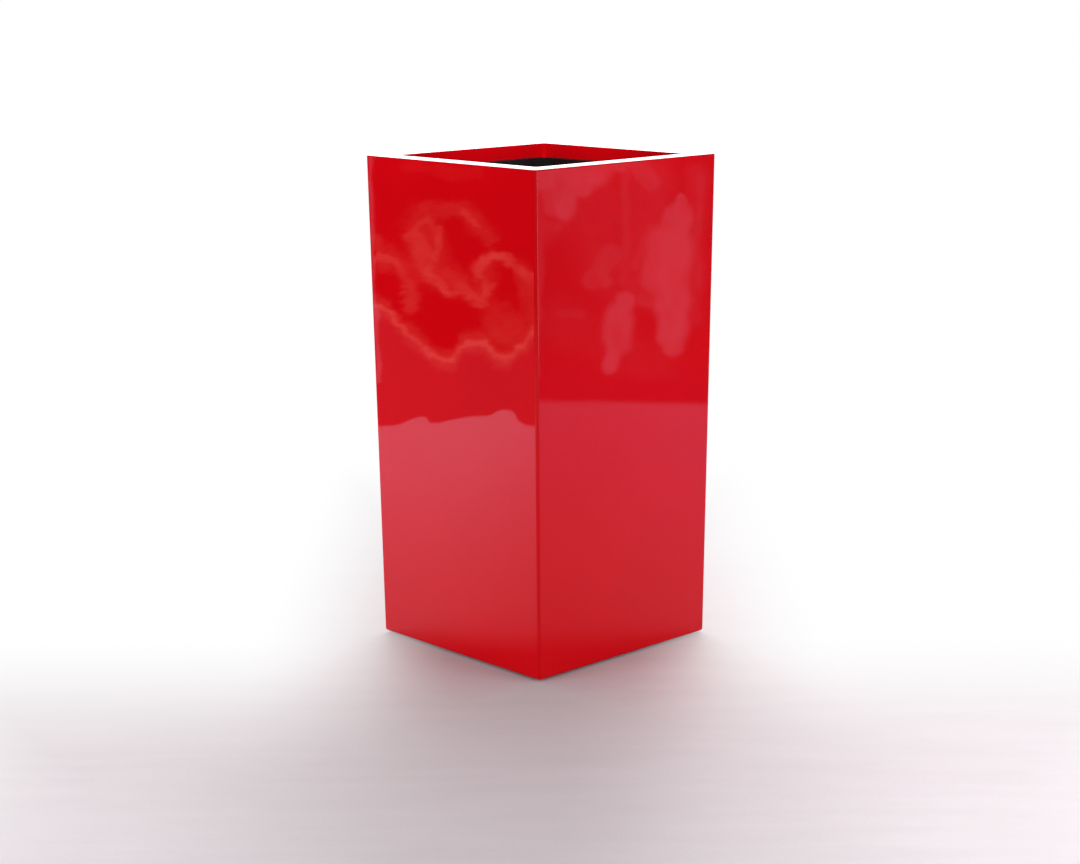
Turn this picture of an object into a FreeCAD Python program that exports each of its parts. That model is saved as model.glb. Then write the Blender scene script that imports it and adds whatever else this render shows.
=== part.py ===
"""Tall square fiberglass planter with a lift-out liner.

The shell is one drafted moulding. Its rim turns inwards and then down as a return lip, and an angle
frame bonded behind the lip makes a ledge. A plastic liner hangs from its flange on that ledge and lifts
out by two moulded bails. A rubber bung closes the drain hole in the floor, and four rubber feet carry it.

Millimetres. +Z is up, the origin is on the ground at the middle of the footprint, and the front is -Y.
"""
import FreeCAD, Part
import math
import os

V = FreeCAD.Vector

# --- Driving dimensions -------------------------------------------------------------------------

# Shell: outer sizes are taken across the flats, as if the edges were sharp.
RIM_WIDTH = 406.0
BASE_WIDTH = 387.0
SHELL_HEIGHT = 813.0
WALL = 5.0
FLOOR = 7.0
RIM_FLANGE = 37.0
RIM_THICKNESS = 5.0
LIP_DEPTH = 26.5
LIP_THICKNESS = 5.0
UPRIGHT_EDGE_RADIUS = 5.0
BASE_EDGE_RADIUS = 6.0
RIM_EDGE_RADIUS = 2.0
MOUTH_CORNER_RADIUS = 6.0
MOUTH_EDGE_RADIUS = 1.5
CAVITY_EDGE_RADIUS = 8.0
CAVITY_FLOOR_RADIUS = 8.0
DRAIN_RADIUS = 12.5

# Ledge frame: an angle section behind and under the return lip.
LEDGE_THICKNESS = 3.0
LEDGE_REACH = 12.0
LEDGE_CORNER_RADIUS = 30.0

# Feet.
FOOT_HEIGHT = 3.0
FOOT_WIDTH = 36.0
FOOT_TAPER = 1.0
FOOT_CORNER_CUT = 5.0
FOOT_INSET = 42.0

# Liner: a tapered tub under a flange.
LINER_FLANGE_GAP = 1.5
LINER_BODY_GAP = 2.0
LINER_DEPTH = 300.0
LINER_TAPER = 7.0
LINER_WALL = 3.0
LINER_FLANGE_THICKNESS = 3.5
LINER_FLANGE_CORNER_RADIUS = 35.0
LINER_FLANGE_EDGE_CHAMFER = 1.0
LINER_BODY_CORNER_RADIUS = 28.0
LINER_FLOOR_RADIUS = 9.0
LINER_DRAIN_RADIUS = 5.0
LINER_DRAIN_SPACING = 90.0

# Ears moulded inside the liner, and the bails that hang in them by round pins.
PIN_RADIUS = 4.0
PIN_CLEARANCE = 0.05
PIN_PROUD = 2.0
PIVOT_BELOW_FLANGE = 30.0
PIVOT_FROM_WALL = 14.0
EAR_THICKNESS = 8.0
EAR_RADIUS = 9.0
EAR_ROOT_ABOVE = 16.0
EAR_ROOT_BELOW = 30.0

# Bail: a flat strap shaped like a U. Its width lies in the plane of the U, its thickness along X.
BAIL_INSIDE_WIDTH = 124.0
BAIL_DROP = 100.0
BAIL_STRAP_WIDTH = 13.0
BAIL_STRAP_THICKNESS = 6.0
BAIL_INSIDE_CORNER_RADIUS = 12.0
BAIL_TO_EAR_GAP = 0.5

# Soft grips round the middle of the bails.
GRIP_LENGTH = 92.0
GRIP_HEIGHT = 19.0
GRIP_THICKNESS = 15.0
GRIP_CHAMFER = 4.0

# Drain plug.
PLUG_CLEARANCE = 0.05
PLUG_SHORT_OF_UNDERSIDE = 1.0
PLUG_TIP_TAPER = 1.5
PLUG_HEAD_RADIUS = 19.0
PLUG_HEAD_HEIGHT = 4.0
PLUG_HEAD_CHAMFER = 1.0
PLUG_TAB_LENGTH = 20.0
PLUG_TAB_WIDTH = 6.0
PLUG_TAB_HEIGHT = 14.0
PLUG_TAB_CHAMFER = 1.5

# How far a cutting form runs past the face it opens, and how closely an edge has to lie at its height.
CUT_PAST = 1.0
LEVEL_TOLERANCE = 1e-4

# --- Levels and half widths that follow ---------------------------------------------------------

UNDERSIDE_Z = FOOT_HEIGHT
FLOOR_TOP_Z = UNDERSIDE_Z + FLOOR
RIM_Z = UNDERSIDE_Z + SHELL_HEIGHT
RIM_UNDERSIDE_Z = RIM_Z - RIM_THICKNESS
LEDGE_Z = RIM_Z - LIP_DEPTH
LEDGE_UNDERSIDE_Z = LEDGE_Z - LEDGE_THICKNESS

WALL_DRAFT = (RIM_WIDTH - BASE_WIDTH) / 2 / SHELL_HEIGHT
MOUTH_HALF = RIM_WIDTH / 2 - RIM_FLANGE
LIP_BACK_HALF = MOUTH_HALF + LIP_THICKNESS
LEDGE_OUTER_HALF = LIP_BACK_HALF + LEDGE_THICKNESS
LEDGE_INNER_HALF = MOUTH_HALF - LEDGE_REACH

LINER_FLANGE_HALF = MOUTH_HALF - LINER_FLANGE_GAP
LINER_TOP_HALF = LEDGE_INNER_HALF - LINER_BODY_GAP
LINER_BOTTOM_HALF = LINER_TOP_HALF - LINER_TAPER
LINER_TOP_Z = LEDGE_Z + LINER_FLANGE_THICKNESS
LINER_BOTTOM_Z = LINER_TOP_Z - LINER_DEPTH
LINER_DRAFT = LINER_TAPER / LINER_DEPTH

PIVOT_Z = LINER_TOP_Z - PIVOT_BELOW_FLANGE
BAIL_OUTER_HALF = BAIL_INSIDE_WIDTH / 2 + BAIL_STRAP_WIDTH
BAIL_LOW_Z = PIVOT_Z - BAIL_DROP - BAIL_STRAP_WIDTH / 2
EAR_INNER_Y = BAIL_OUTER_HALF + BAIL_TO_EAR_GAP
EAR_OUTER_Y = EAR_INNER_Y + EAR_THICKNESS
PIN_END_Y = EAR_OUTER_Y + PIN_PROUD


def liner_inner_half(z):
    """Half the clear width inside the liner at height z."""
    return LINER_TOP_HALF - LINER_WALL - (LINER_TOP_Z - z) * LINER_DRAFT


PIVOT_X = liner_inner_half(PIVOT_Z) - PIVOT_FROM_WALL


# --- Helpers ------------------------------------------------------------------------------------


def drafted_block(bottom_half, top_half, low_z, high_z):
    """Square block about the Z axis whose four sides lean evenly from bottom_half to top_half."""
    block = Part.makeWedge(
        -bottom_half, low_z, -bottom_half, -top_half, -top_half,
        bottom_half, high_z, bottom_half, top_half, top_half,
    )
    block.rotate(V(0, 0, 0), V(1, 0, 0), 90)
    return block


def upright_edges(solid):
    """The four long corner edges of a square block."""
    found = []
    for edge in solid.Edges:
        box = edge.BoundBox
        if box.ZLength > max(box.XLength, box.YLength):
            found.append(edge)
    return found


def edges_at_height(solid, z, inside=math.inf):
    """Edges that lie flat at height z, within a square of half width inside."""
    found = []
    for edge in solid.Edges:
        box = edge.BoundBox
        reach = max(abs(edge.CenterOfMass.x), abs(edge.CenterOfMass.y))
        level = abs(box.ZMin - z) < LEVEL_TOLERANCE and abs(box.ZMax - z) < LEVEL_TOLERANCE
        if level and reach < inside:
            found.append(edge)
    return found


def rounded_block(bottom_half, top_half, low_z, high_z, corner_radius):
    """Drafted square block with rounded upright edges."""
    block = drafted_block(bottom_half, top_half, low_z, high_z)
    return block.makeFillet(corner_radius, upright_edges(block))


def square_ring(outer_half, inner_half, low_z, high_z, outer_radius, inner_radius):
    """Upright-sided square ring with rounded corners outside and inside."""
    outer = rounded_block(outer_half, outer_half, low_z, high_z, outer_radius)
    inner = rounded_block(inner_half, inner_half, low_z - CUT_PAST, high_z + CUT_PAST, inner_radius)
    return outer.cut(inner)


def cylinder_along_y(radius, start_y, end_y, x, z):
    """Round bar parallel to Y."""
    return Part.makeCylinder(radius, end_y - start_y, V(x, start_y, z), V(0, 1, 0))


def mirrored(solid, normal):
    """Mirror image across the plane through the origin with this normal."""
    return solid.mirror(V(0, 0, 0), normal)


# --- Shell --------------------------------------------------------------------------------------


def shell_outside():
    """Outer form: leaning walls, rounded upright edges, base edge and rim edge."""
    body = rounded_block(BASE_WIDTH / 2, RIM_WIDTH / 2, UNDERSIDE_Z, RIM_Z, UPRIGHT_EDGE_RADIUS)
    body = body.makeFillet(BASE_EDGE_RADIUS, edges_at_height(body, UNDERSIDE_Z))
    return body.makeFillet(RIM_EDGE_RADIUS, edges_at_height(body, RIM_Z))


def shell_cavity():
    """The room between the walls, from the floor up to the underside of the rim."""
    floor_half = BASE_WIDTH / 2 + FLOOR * WALL_DRAFT - WALL
    top_half = RIM_WIDTH / 2 - RIM_THICKNESS * WALL_DRAFT - WALL
    cavity = rounded_block(floor_half, top_half, FLOOR_TOP_Z, RIM_UNDERSIDE_Z, CAVITY_EDGE_RADIUS)
    return cavity.makeFillet(CAVITY_FLOOR_RADIUS, edges_at_height(cavity, FLOOR_TOP_Z))


def build_shell():
    """One moulding: walls, floor with its drain hole, inward rim and return lip."""
    mouth = rounded_block(
        MOUTH_HALF, MOUTH_HALF, RIM_UNDERSIDE_Z - CUT_PAST, RIM_Z + CUT_PAST, MOUTH_CORNER_RADIUS
    )
    lip = square_ring(
        LIP_BACK_HALF, MOUTH_HALF, LEDGE_Z, RIM_Z - RIM_THICKNESS / 2,
        MOUTH_CORNER_RADIUS + LIP_THICKNESS, MOUTH_CORNER_RADIUS,
    )
    drain = Part.makeCylinder(DRAIN_RADIUS, FLOOR + 2 * CUT_PAST, V(0, 0, UNDERSIDE_Z - CUT_PAST))
    shell = shell_outside().cut(shell_cavity()).cut(mouth).fuse(lip).cut(drain).removeSplitter()
    return shell.makeFillet(MOUTH_EDGE_RADIUS, edges_at_height(shell, RIM_Z, inside=LIP_BACK_HALF))


# --- Ledge frame --------------------------------------------------------------------------------


def build_ledge_frame():
    """Angle frame: the upright leg backs the return lip, the level leg runs under it and inwards."""
    upright_leg = square_ring(
        LEDGE_OUTER_HALF, LIP_BACK_HALF, LEDGE_UNDERSIDE_Z, RIM_UNDERSIDE_Z,
        MOUTH_CORNER_RADIUS + LEDGE_THICKNESS, MOUTH_CORNER_RADIUS,
    )
    level_leg = square_ring(
        LEDGE_OUTER_HALF, LEDGE_INNER_HALF, LEDGE_UNDERSIDE_Z, LEDGE_Z,
        MOUTH_CORNER_RADIUS + LEDGE_THICKNESS, LEDGE_CORNER_RADIUS,
    )
    return upright_leg.fuse(level_leg).removeSplitter()


# --- Feet ---------------------------------------------------------------------------------------


def build_foot(side_x, side_y):
    """Low square rubber pad with cut corners, a little wider where it is bonded to the floor."""
    place = BASE_WIDTH / 2 - FOOT_INSET
    half = FOOT_WIDTH / 2
    pad = drafted_block(half - FOOT_TAPER, half, 0, FOOT_HEIGHT)
    pad = pad.makeChamfer(FOOT_CORNER_CUT, upright_edges(pad))
    pad.translate(V(side_x * place, side_y * place, 0))
    return pad


# --- Liner --------------------------------------------------------------------------------------


def ear_profile():
    """Outline of one ear, seen along Y: a round boss about the pivot, blended down the wall."""
    wall_top_z = PIVOT_Z + EAR_ROOT_ABOVE
    wall_low_z = PIVOT_Z - EAR_ROOT_BELOW
    root_top = V(liner_inner_half(wall_top_z) + LINER_WALL / 2, 0, wall_top_z)
    root_low = V(liner_inner_half(wall_low_z) + LINER_WALL / 2, 0, wall_low_z)
    pivot = V(PIVOT_X, 0, PIVOT_Z)
    upper = tangent_point(root_top, pivot, EAR_RADIUS, 1)
    lower = tangent_point(root_low, pivot, EAR_RADIUS, -1)
    nose = V(PIVOT_X - EAR_RADIUS, 0, PIVOT_Z)
    edges = [
        Part.LineSegment(root_low, root_top).toShape(),
        Part.LineSegment(root_top, upper).toShape(),
        Part.Arc(upper, nose, lower).toShape(),
        Part.LineSegment(lower, root_low).toShape(),
    ]
    return Part.Face(Part.Wire(edges))


def tangent_point(outside, centre, radius, side):
    """Where a line from the point outside touches the circle; side 1 is above it, -1 below it."""
    away = outside.sub(centre)
    bearing = math.atan2(away.z, away.x)
    spread = math.acos(radius / away.Length)
    angle = bearing + side * spread
    return centre.add(V(radius * math.cos(angle), 0, radius * math.sin(angle)))


def build_ears():
    """Four ears in two facing pairs, each with its pivot hole."""
    ear = ear_profile().extrude(V(0, EAR_THICKNESS, 0))
    ear.translate(V(0, EAR_INNER_Y, 0))
    hole = cylinder_along_y(
        PIN_RADIUS + PIN_CLEARANCE, EAR_INNER_Y - CUT_PAST, EAR_OUTER_Y + CUT_PAST, PIVOT_X, PIVOT_Z
    )
    ear = ear.cut(hole)
    pair = [ear, mirrored(ear, V(0, 1, 0))]
    return pair + [mirrored(one, V(1, 0, 0)) for one in pair]


def build_liner():
    """Tapered tub under a flange, with drain holes in its floor and ears on two walls."""
    flange = rounded_block(
        LINER_FLANGE_HALF, LINER_FLANGE_HALF, LEDGE_Z, LINER_TOP_Z, LINER_FLANGE_CORNER_RADIUS
    )
    flange = flange.makeChamfer(LINER_FLANGE_EDGE_CHAMFER, edges_at_height(flange, LINER_TOP_Z))
    body = rounded_block(
        LINER_BOTTOM_HALF, LINER_TOP_HALF, LINER_BOTTOM_Z, LINER_TOP_Z, LINER_BODY_CORNER_RADIUS
    )
    body = body.makeFillet(LINER_FLOOR_RADIUS, edges_at_height(body, LINER_BOTTOM_Z))
    floor_z = LINER_BOTTOM_Z + LINER_WALL
    room = rounded_block(
        liner_inner_half(floor_z), liner_inner_half(LINER_TOP_Z), floor_z, LINER_TOP_Z,
        LINER_BODY_CORNER_RADIUS - LINER_WALL,
    )
    room = room.makeFillet(LINER_FLOOR_RADIUS - LINER_WALL, edges_at_height(room, floor_z))
    liner = flange.fuse(body).cut(room).fuse(build_ears())
    drain = Part.makeCylinder(
        LINER_DRAIN_RADIUS, LINER_WALL + 2 * CUT_PAST, V(0, 0, LINER_BOTTOM_Z - CUT_PAST)
    )
    for step_x, step_y in ((0, 0), (-1, -1), (-1, 1), (1, -1), (1, 1)):
        place = V(step_x * LINER_DRAIN_SPACING, step_y * LINER_DRAIN_SPACING, 0)
        liner = liner.cut(drain.translated(place))
    return liner.removeSplitter()


# --- Lift handles -------------------------------------------------------------------------------


def bail_outline(half_width, low_z, corner_radius):
    """U shape in the plane of the hanging bail: two legs down from the pivot's level and round corners."""
    top_z = PIVOT_Z + BAIL_STRAP_WIDTH / 2
    reach = corner_radius * math.sqrt(0.5)
    centre_y = half_width - corner_radius
    centre_z = low_z + corner_radius

    def at(y, z):
        return V(PIVOT_X, y, z)

    def corner(side):
        return Part.Arc(
            at(side * half_width, centre_z),
            at(side * (centre_y + reach), centre_z - reach),
            at(side * centre_y, low_z),
        ).toShape()

    return Part.Wire([
        Part.LineSegment(at(-half_width, top_z), at(half_width, top_z)).toShape(),
        Part.LineSegment(at(half_width, top_z), at(half_width, centre_z)).toShape(),
        corner(1),
        Part.LineSegment(at(centre_y, low_z), at(-centre_y, low_z)).toShape(),
        corner(-1),
        Part.LineSegment(at(-half_width, centre_z), at(-half_width, top_z)).toShape(),
    ])


def build_bail():
    """Moulded bail on the +X side: a U-shaped strap with a round pin standing out of each leg."""
    outside = bail_outline(BAIL_OUTER_HALF, BAIL_LOW_Z, BAIL_INSIDE_CORNER_RADIUS + BAIL_STRAP_WIDTH)
    inside = bail_outline(
        BAIL_INSIDE_WIDTH / 2, BAIL_LOW_Z + BAIL_STRAP_WIDTH, BAIL_INSIDE_CORNER_RADIUS
    )
    strap = Part.Face(outside).extrude(V(BAIL_STRAP_THICKNESS, 0, 0))
    strap = strap.cut(Part.Face(inside).extrude(V(BAIL_STRAP_THICKNESS, 0, 0)))
    strap.translate(V(-BAIL_STRAP_THICKNESS / 2, 0, 0))
    pins = []
    for start_y, end_y in ((BAIL_OUTER_HALF, PIN_END_Y), (-PIN_END_Y, -BAIL_OUTER_HALF)):
        pins.append(cylinder_along_y(PIN_RADIUS, start_y, end_y, PIVOT_X, PIVOT_Z))
    return strap.fuse(pins).removeSplitter()


def build_grip():
    """Soft sleeve with broken edges round the level stretch of the bail, on the +X side."""
    low_corner = V(PIVOT_X - GRIP_THICKNESS / 2, -GRIP_LENGTH / 2, PIVOT_Z - BAIL_DROP - GRIP_HEIGHT / 2)
    sleeve = Part.makeBox(GRIP_THICKNESS, GRIP_LENGTH, GRIP_HEIGHT, low_corner)
    long_edges = [edge for edge in sleeve.Edges if edge.BoundBox.YLength > GRIP_LENGTH / 2]
    sleeve = sleeve.makeChamfer(GRIP_CHAMFER, long_edges)
    strap_room = Part.makeBox(
        BAIL_STRAP_THICKNESS, GRIP_LENGTH + 2 * CUT_PAST, BAIL_STRAP_WIDTH,
        V(PIVOT_X - BAIL_STRAP_THICKNESS / 2, -GRIP_LENGTH / 2 - CUT_PAST, BAIL_LOW_Z),
    )
    return sleeve.cut(strap_room)


# --- Drain plug ---------------------------------------------------------------------------------


def build_drain_plug():
    """Rubber bung: tapered stem in the drain hole, flat head on the floor and a tab to pull it by."""
    stem_radius = DRAIN_RADIUS - PLUG_CLEARANCE
    tip_z = UNDERSIDE_Z + PLUG_SHORT_OF_UNDERSIDE
    head_z = FLOOR_TOP_Z + PLUG_HEAD_HEIGHT
    stem = Part.makeCone(stem_radius - PLUG_TIP_TAPER, stem_radius, FLOOR_TOP_Z - tip_z, V(0, 0, tip_z))
    head = Part.makeCylinder(PLUG_HEAD_RADIUS, PLUG_HEAD_HEIGHT, V(0, 0, FLOOR_TOP_Z))
    head = head.makeChamfer(PLUG_HEAD_CHAMFER, edges_at_height(head, head_z))
    tab = Part.makeBox(
        PLUG_TAB_LENGTH, PLUG_TAB_WIDTH, PLUG_HEAD_HEIGHT + PLUG_TAB_HEIGHT,
        V(-PLUG_TAB_LENGTH / 2, -PLUG_TAB_WIDTH / 2, FLOOR_TOP_Z),
    )
    tab = tab.makeChamfer(PLUG_TAB_CHAMFER, edges_at_height(tab, head_z + PLUG_TAB_HEIGHT))
    return stem.fuse(head).fuse(tab).removeSplitter()


# --- Write the parts ----------------------------------------------------------------------------


def main():
    bail = build_bail()
    grip = build_grip()
    parts = {
        "shell": build_shell(),
        "ledge_frame": build_ledge_frame(),
        "foot_front_left": build_foot(-1, -1),
        "foot_front_right": build_foot(1, -1),
        "foot_back_left": build_foot(-1, 1),
        "foot_back_right": build_foot(1, 1),
        "liner": build_liner(),
        "lift_handle_right": bail,
        "lift_handle_left": mirrored(bail, V(1, 0, 0)),
        "handle_grip_right": grip,
        "handle_grip_left": mirrored(grip, V(1, 0, 0)),
        "drain_plug": build_drain_plug(),
    }
    os.makedirs("parts", exist_ok=True)
    for name, shape in parts.items():
        solid = shape.Solids[0]
        print(f"{name}: {len(shape.Solids)} solid, valid {solid.isValid()}, {solid.Volume / 1000:.1f} cm3")
        solid.exportStep(f"parts/{name}.step")


main()
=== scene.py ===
# %% [markdown]
# # A tall square planter in glossy fiberglass
# The object is a waist-high tub for a plant. One glossy red moulding makes the walls, the rim and the lip
# that turns down inside the mouth. A black plastic liner hangs inside it on a ledge and takes the soil.
# This lesson dresses the measured solid model of that planter: each cell takes one piece, says what it is
# on the real object and how it could be made, and then makes it. All sizes are metres, in the solid model's
# own frame: Z is up, the middle of the footprint is the origin, and the front is -Y.

# %% Load the measured frame
import math
import bmesh
import bpy
from mathutils import Matrix, Quaternion, Vector


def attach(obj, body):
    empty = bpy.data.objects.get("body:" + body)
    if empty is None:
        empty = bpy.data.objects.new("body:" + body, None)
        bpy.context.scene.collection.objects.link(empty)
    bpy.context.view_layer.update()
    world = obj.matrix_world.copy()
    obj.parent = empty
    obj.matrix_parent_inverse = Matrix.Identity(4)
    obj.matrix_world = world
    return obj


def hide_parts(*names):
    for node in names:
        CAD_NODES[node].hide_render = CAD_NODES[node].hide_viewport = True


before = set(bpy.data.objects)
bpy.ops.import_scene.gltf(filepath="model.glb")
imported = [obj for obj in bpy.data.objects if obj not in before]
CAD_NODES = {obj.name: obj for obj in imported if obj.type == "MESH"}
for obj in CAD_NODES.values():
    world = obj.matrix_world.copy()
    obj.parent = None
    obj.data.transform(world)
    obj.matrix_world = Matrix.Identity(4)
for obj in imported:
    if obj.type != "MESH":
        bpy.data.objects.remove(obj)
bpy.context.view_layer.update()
print("CAD nodes:", sorted(CAD_NODES))

# %% [markdown]
# ## The camera
# A product photograph is taken with a long lens from some way off, so that the upright edges stay nearly
# parallel. The camera could be placed by eye. It is given here by its place, the direction it looks in and
# a small tilt, which were worked out from where the eight corners of the tub lie in the picture. Turning a
# camera from "looking down" takes three plain turns: roll it, tip it up, then swing it round.

# %% The camera
CAMERA_PLACE = (-2.4648, -2.6098, 1.1142)
CAMERA_BEARING = math.radians(46.70)
CAMERA_DOWN = math.radians(12.008)
CAMERA_ROLL = math.radians(-0.4315)
SENSOR_WIDTH = 36.0
LENS_LENGTH = 72.68
QUARTER_TURN = math.radians(90)


def camera_turn():
    """The three turns, the last one first, because each turn acts on what stands to its right."""
    swing = Quaternion((0, 0, 1), CAMERA_BEARING - QUARTER_TURN)
    tip = Quaternion((1, 0, 0), QUARTER_TURN - CAMERA_DOWN)
    roll = Quaternion((0, 0, 1), CAMERA_ROLL)
    return swing @ tip @ roll


camera_data = bpy.data.cameras.new("photo_camera")
camera_data.sensor_width = SENSOR_WIDTH
camera_data.lens = LENS_LENGTH
camera = bpy.data.objects.new("photo_camera", camera_data)
bpy.context.scene.collection.objects.link(camera)
camera.location = CAMERA_PLACE
camera.rotation_mode = "QUATERNION"
camera.rotation_quaternion = camera_turn()
bpy.context.scene.camera = camera
print("camera at", CAMERA_PLACE, "lens", camera_data.lens)

# %% [markdown]
# ## Helpers for materials
# A procedural finish is a small graph of nodes. Writing each node by hand takes four lines, so a few
# helpers add a node, set its values and join its inputs in one line.

# %% Helpers for materials


class Graph:
    """Adds nodes to one node tree. A value may be a number, a tuple or another node's output."""

    def __init__(self, tree):
        self.tree = tree

    def add(self, kind, inputs=(), **settings):
        node = self.tree.nodes.new(kind)
        for name, value in settings.items():
            setattr(node, name, value)
        for key, value in dict(inputs).items():
            self.feed(node.inputs[key], value)
        return node

    def feed(self, socket, value):
        if isinstance(value, bpy.types.NodeSocket):
            self.tree.links.new(value, socket)
        else:
            socket.default_value = value

    def math(self, operation, *values):
        node = self.add("ShaderNodeMath", dict(enumerate(values)), operation=operation)
        return node.outputs[0]

    def vector(self, operation, *values):
        node = self.add("ShaderNodeVectorMath", dict(enumerate(values)), operation=operation)
        return node.outputs["Value" if operation in ("DOT_PRODUCT", "LENGTH", "DISTANCE") else "Vector"]

    def smooth(self, value, start, end, low=0.0, high=1.0):
        """A soft step: low before start, high after end."""
        inputs = {"Value": value, "From Min": start, "From Max": end, "To Min": low, "To Max": high}
        return self.add("ShaderNodeMapRange", inputs, interpolation_type="SMOOTHSTEP").outputs["Result"]

    def noise(self, vector, scale, detail=2.0, roughness=0.5, distortion=0.0, output="Fac"):
        inputs = {"Vector": vector, "Scale": scale, "Detail": detail, "Roughness": roughness,
                  "Distortion": distortion}
        return self.add("ShaderNodeTexNoise", inputs, noise_dimensions="3D").outputs[output]

    def mix_colour(self, factor, first, second):
        node = self.add("ShaderNodeMix", data_type="RGBA")
        self.feed(node.inputs[0], factor)
        self.feed(node.inputs[6], first)
        self.feed(node.inputs[7], second)
        return node.outputs[2]

    def bump(self, height, distance, strength=1.0, normal=None):
        inputs = {"Height": height, "Distance": distance, "Strength": strength}
        if normal is not None:
            inputs["Normal"] = normal
        return self.add("ShaderNodeBump", inputs).outputs["Normal"]

    def product(self, first, *others):
        """All the values, multiplied together."""
        for other in others:
            first = self.math("MULTIPLY", first, other)
        return first

    def largest(self, first, *others):
        for other in others:
            first = self.math("MAXIMUM", first, other)
        return first

    def off(self, value, centre):
        """How far a value lies from a centre, on either side."""
        return self.math("ABSOLUTE", self.math("SUBTRACT", value, centre))

    def scaled(self, vector, factor):
        """A vector or a colour, this many times as large."""
        return self.add("ShaderNodeVectorMath", {0: vector, 3: factor}, operation="SCALE").outputs[0]

    def emission(self, colour):
        return self.add("ShaderNodeEmission", {"Color": colour, "Strength": 1.0}).outputs[0]

    def mix_shader(self, factor, first, second):
        return self.add("ShaderNodeMixShader", {0: factor, 1: first, 2: second}).outputs[0]

    def finish(self, kind, shader):
        """Adds the output node and joins the last shader to it."""
        self.feed(self.add(kind).inputs["Surface"], shader)


def new_material(name, **values):
    """A material with its graph, its main shader and its Object coordinates."""
    material = bpy.data.materials.new(name)
    material.use_nodes = True
    graph = Graph(material.node_tree)
    shader = material.node_tree.nodes["Principled BSDF"]
    for key, value in values.items():
        shader.inputs[key.replace("_", " ")].default_value = value
    place = graph.add("ShaderNodeTexCoord").outputs["Object"]
    return material, graph, shader, place


print("helpers ready:", Graph.__name__, new_material.__name__)

# %% [markdown]
# ## The red gelcoat
# The outside of a fiberglass moulding is gelcoat: a coloured resin that is sprayed into a polished mould
# and then rubbed up. It is as smooth as paint, but never quite flat. The glass behind it shrinks as it
# cures, so a reflection bends by a fraction of a degree over a hand's width, and up close there is a faint
# orange peel. Both are too shallow to model, so they are bump. The colour is even, with a speck of dust
# here and there.

# %% The red gelcoat
RED = (0.58, 0.0012, 0.0045, 1.0)
RED_DEEP = (0.55, 0.0010, 0.0040, 1.0)
DUST_SPECK = (0.16, 0.004, 0.006, 1.0)
SPECK_SIZE = 0.0055
POLISH = (0.012, 0.020)
WAVE_DEPTH = 0.00012
PEEL_DEPTH = 0.0000012


def make_red_gelcoat():
    material, graph, shader, place = new_material("red_gelcoat", IOR=1.5)
    cloud = graph.noise(place, scale=3.0)
    colour = graph.mix_colour(graph.smooth(cloud, 0.35, 0.65), RED, RED_DEEP)
    cells = {"Vector": place, "Scale": 9.0, "Randomness": 1.0}
    specks = graph.add("ShaderNodeTexVoronoi", cells, feature="F1").outputs["Distance"]
    colour = graph.mix_colour(graph.math("LESS_THAN", specks, SPECK_SIZE), colour, DUST_SPECK)
    graph.feed(shader.inputs["Base Color"], colour)
    haze = graph.noise(place, scale=14.0, detail=3.0)
    graph.feed(shader.inputs["Roughness"], graph.smooth(haze, 0.3, 0.7, *POLISH))
    wave = graph.bump(graph.noise(place, scale=7.0, detail=1.0), WAVE_DEPTH)
    peel = graph.bump(graph.noise(place, scale=260.0, detail=1.0), PEEL_DEPTH, normal=wave)
    graph.feed(shader.inputs["Normal"], peel)
    return material


red_gelcoat = make_red_gelcoat()
print("made", red_gelcoat.name)

# %% [markdown]
# ## The raw laminate inside
# Behind the gelcoat the wall is chopped glass mat in resin, brushed over with dark flow coat. It is only
# seen when the liner is out. Short crossed fibres show through as a fine raised mat.

# %% The raw laminate inside
FLOW_COAT = (0.014, 0.013, 0.013, 1.0)
BARE_FIBRE = (0.05, 0.047, 0.045, 1.0)
FIBRE_DEPTH = 0.0006


def make_raw_laminate():
    material, graph, shader, place = new_material("raw_laminate", IOR=1.5)
    fibres = graph.noise(place, scale=90.0, detail=4.0, roughness=0.7, distortion=2.5)
    blotches = graph.noise(place, scale=12.0)
    graph.feed(shader.inputs["Base Color"], graph.mix_colour(fibres, FLOW_COAT, BARE_FIBRE))
    graph.feed(shader.inputs["Roughness"], graph.smooth(blotches, 0.3, 0.7, low=0.35, high=0.6))
    graph.feed(shader.inputs["Normal"], graph.bump(fibres, FIBRE_DEPTH))
    return material


raw_laminate = make_raw_laminate()
print("made", raw_laminate.name)

# %% [markdown]
# ## Walls that grow ring by ring
# A hollow square tub could be cut out of a block, but a cut needs a second block and leaves poor edges. A
# wall can also grow as a potter's coil does. It starts as one square ring with rounded corners, and the
# open edge is extruded again and again. Each step only has to say how wide the new ring is, how round its
# corners are and how high it stands. Sharp edges are rounded at the end, because nothing that is moulded
# has any.

# %% Rings and rounded edges
CORNER_STEPS = 6
VERT, EDGE, FACE = bmesh.types.BMVert, bmesh.types.BMEdge, bmesh.types.BMFace


def pick(parts, kind):
    """The vertices, the edges or the faces among the parts that an operator made."""
    return [part for part in parts if isinstance(part, kind)]


def round_corners(bm, verts, radius):
    """Rounds the corners of a flat face."""
    made = bmesh.ops.bevel(bm, geom=verts, offset=radius, offset_type="OFFSET", segments=CORNER_STEPS,
                           profile=0.5, affect="VERTICES", material=-1)
    return made["verts"]


def round_edges(bm, edges, radius, segments=4):
    bmesh.ops.bevel(bm, geom=edges, offset=radius, offset_type="OFFSET", segments=segments, profile=0.5,
                    affect="EDGES", material=-1)


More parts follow.
